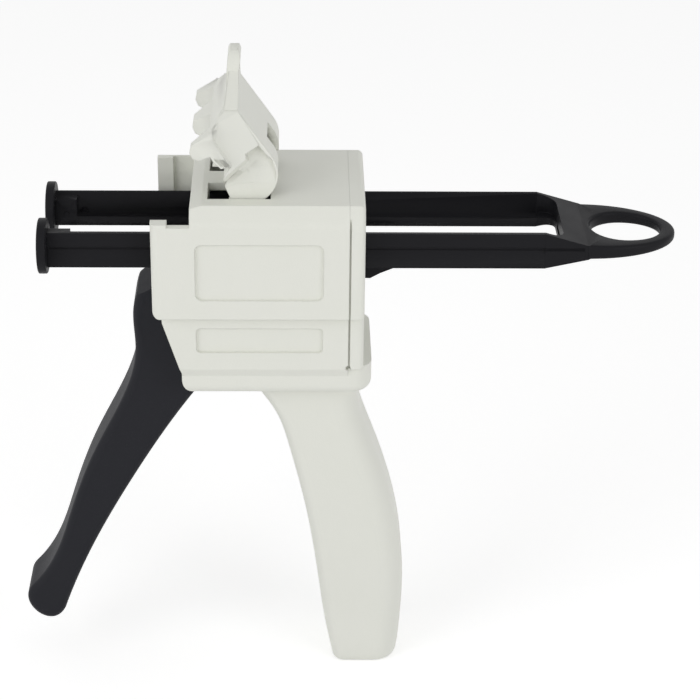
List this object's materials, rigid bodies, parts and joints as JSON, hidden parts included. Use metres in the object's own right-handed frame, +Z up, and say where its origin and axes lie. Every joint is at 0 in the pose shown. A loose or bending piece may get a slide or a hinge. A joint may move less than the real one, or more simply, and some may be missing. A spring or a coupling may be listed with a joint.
{
  "type": "dental cartridge dispensing tool",
  "caption": "Hand-held dispensing gun: a trigger and grip push a twin-rod plunger with round discs into a side-by-side cartridge held by a flip-up locking lever.",
  "frame": {"origin": "in the flange slot, midway between the two plunger axes, 1.4 mm in front of the seat face", "axes": "+X towards the pull loop at the back, +Y to the far side, +Z up, grip downwards"},
  "size_m": [0.1994, 0.048, 0.207],
  "materials": {
    "ivory_housing": "satin, fine moulded grain",
    "ivory_cover": "satin",
    "ivory_lever": "satin",
    "black_plunger": "satin",
    "black_disc": "satin",
    "black_trigger": "satin",
    "grey_pawl": "satin",
    "black_release": "satin",
    "frame_steel": "pressed sheet",
    "pin_steel": "ground",
    "spring_steel": "drawn wire",
    "screw_steel": "zinc plated"
  },
  "bodies": {
    "housing": {"housing": "ivory_housing", "rear_cover": "ivory_cover", "cover_screws": "screw_steel", "frame_plate_near": "frame_steel", "frame_plate_far": "frame_steel", "frame_ties": "frame_steel", "locking_lever_pin": "pin_steel", "trigger_pin": "pin_steel", "release_lever_pin": "pin_steel", "trigger_spring": "spring_steel", "release_spring": "spring_steel"},
    "plunger": {"plunger_frame": "black_plunger", "piston_disc_near": "black_disc", "piston_disc_far": "black_disc", "disc_pins": "pin_steel"},
    "locking_lever": {"locking_lever": "ivory_lever"},
    "trigger": {"trigger": "black_trigger", "drive_pawl_pin": "pin_steel"},
    "drive_pawl": {"drive_pawl": "grey_pawl", "drive_pawl_spring": "spring_steel"},
    "release_lever": {"release_lever": "black_release"}
  },
  "joints": [
    {"name": "plunger_slide", "type": "slide", "parent": "housing", "child": "plunger", "axis": [1, 0, 0], "range_m": [-0.053, 0.0449]},
    {"name": "locking_lever_hinge", "type": "hinge", "parent": "housing", "child": "locking_lever", "pos_m": [0.0174, 0, 0.0237], "axis": [0, -1, 0], "range_deg": [0, 50]},
    {"name": "trigger_hinge", "type": "hinge", "parent": "housing", "child": "trigger", "pos_m": [0.015, 0, -0.032], "axis": [0, -1, 0], "range_deg": [0, 28], "stiffness_Nm_per_rad": 0.25, "springref_deg": -14.32},
    {"name": "drive_pawl_hinge", "type": "hinge", "parent": "trigger", "child": "drive_pawl", "pos_m": [0.01939, 0, -0.013], "axis": [0, -1, 0], "range_deg": [-28, 0]},
    {"name": "release_lever_hinge", "type": "hinge", "parent": "housing", "child": "release_lever", "pos_m": [0.04, 0, -0.0116], "axis": [0, -1, 0], "range_deg": [0, 10], "stiffness_Nm_per_rad": 0.02, "springref_deg": -11.46, "deforming": ["release_spring"]}
  ],
  "couplings": [
    {"joint": "drive_pawl_hinge", "follows": "trigger_hinge", "ratio": -1}
  ]
}
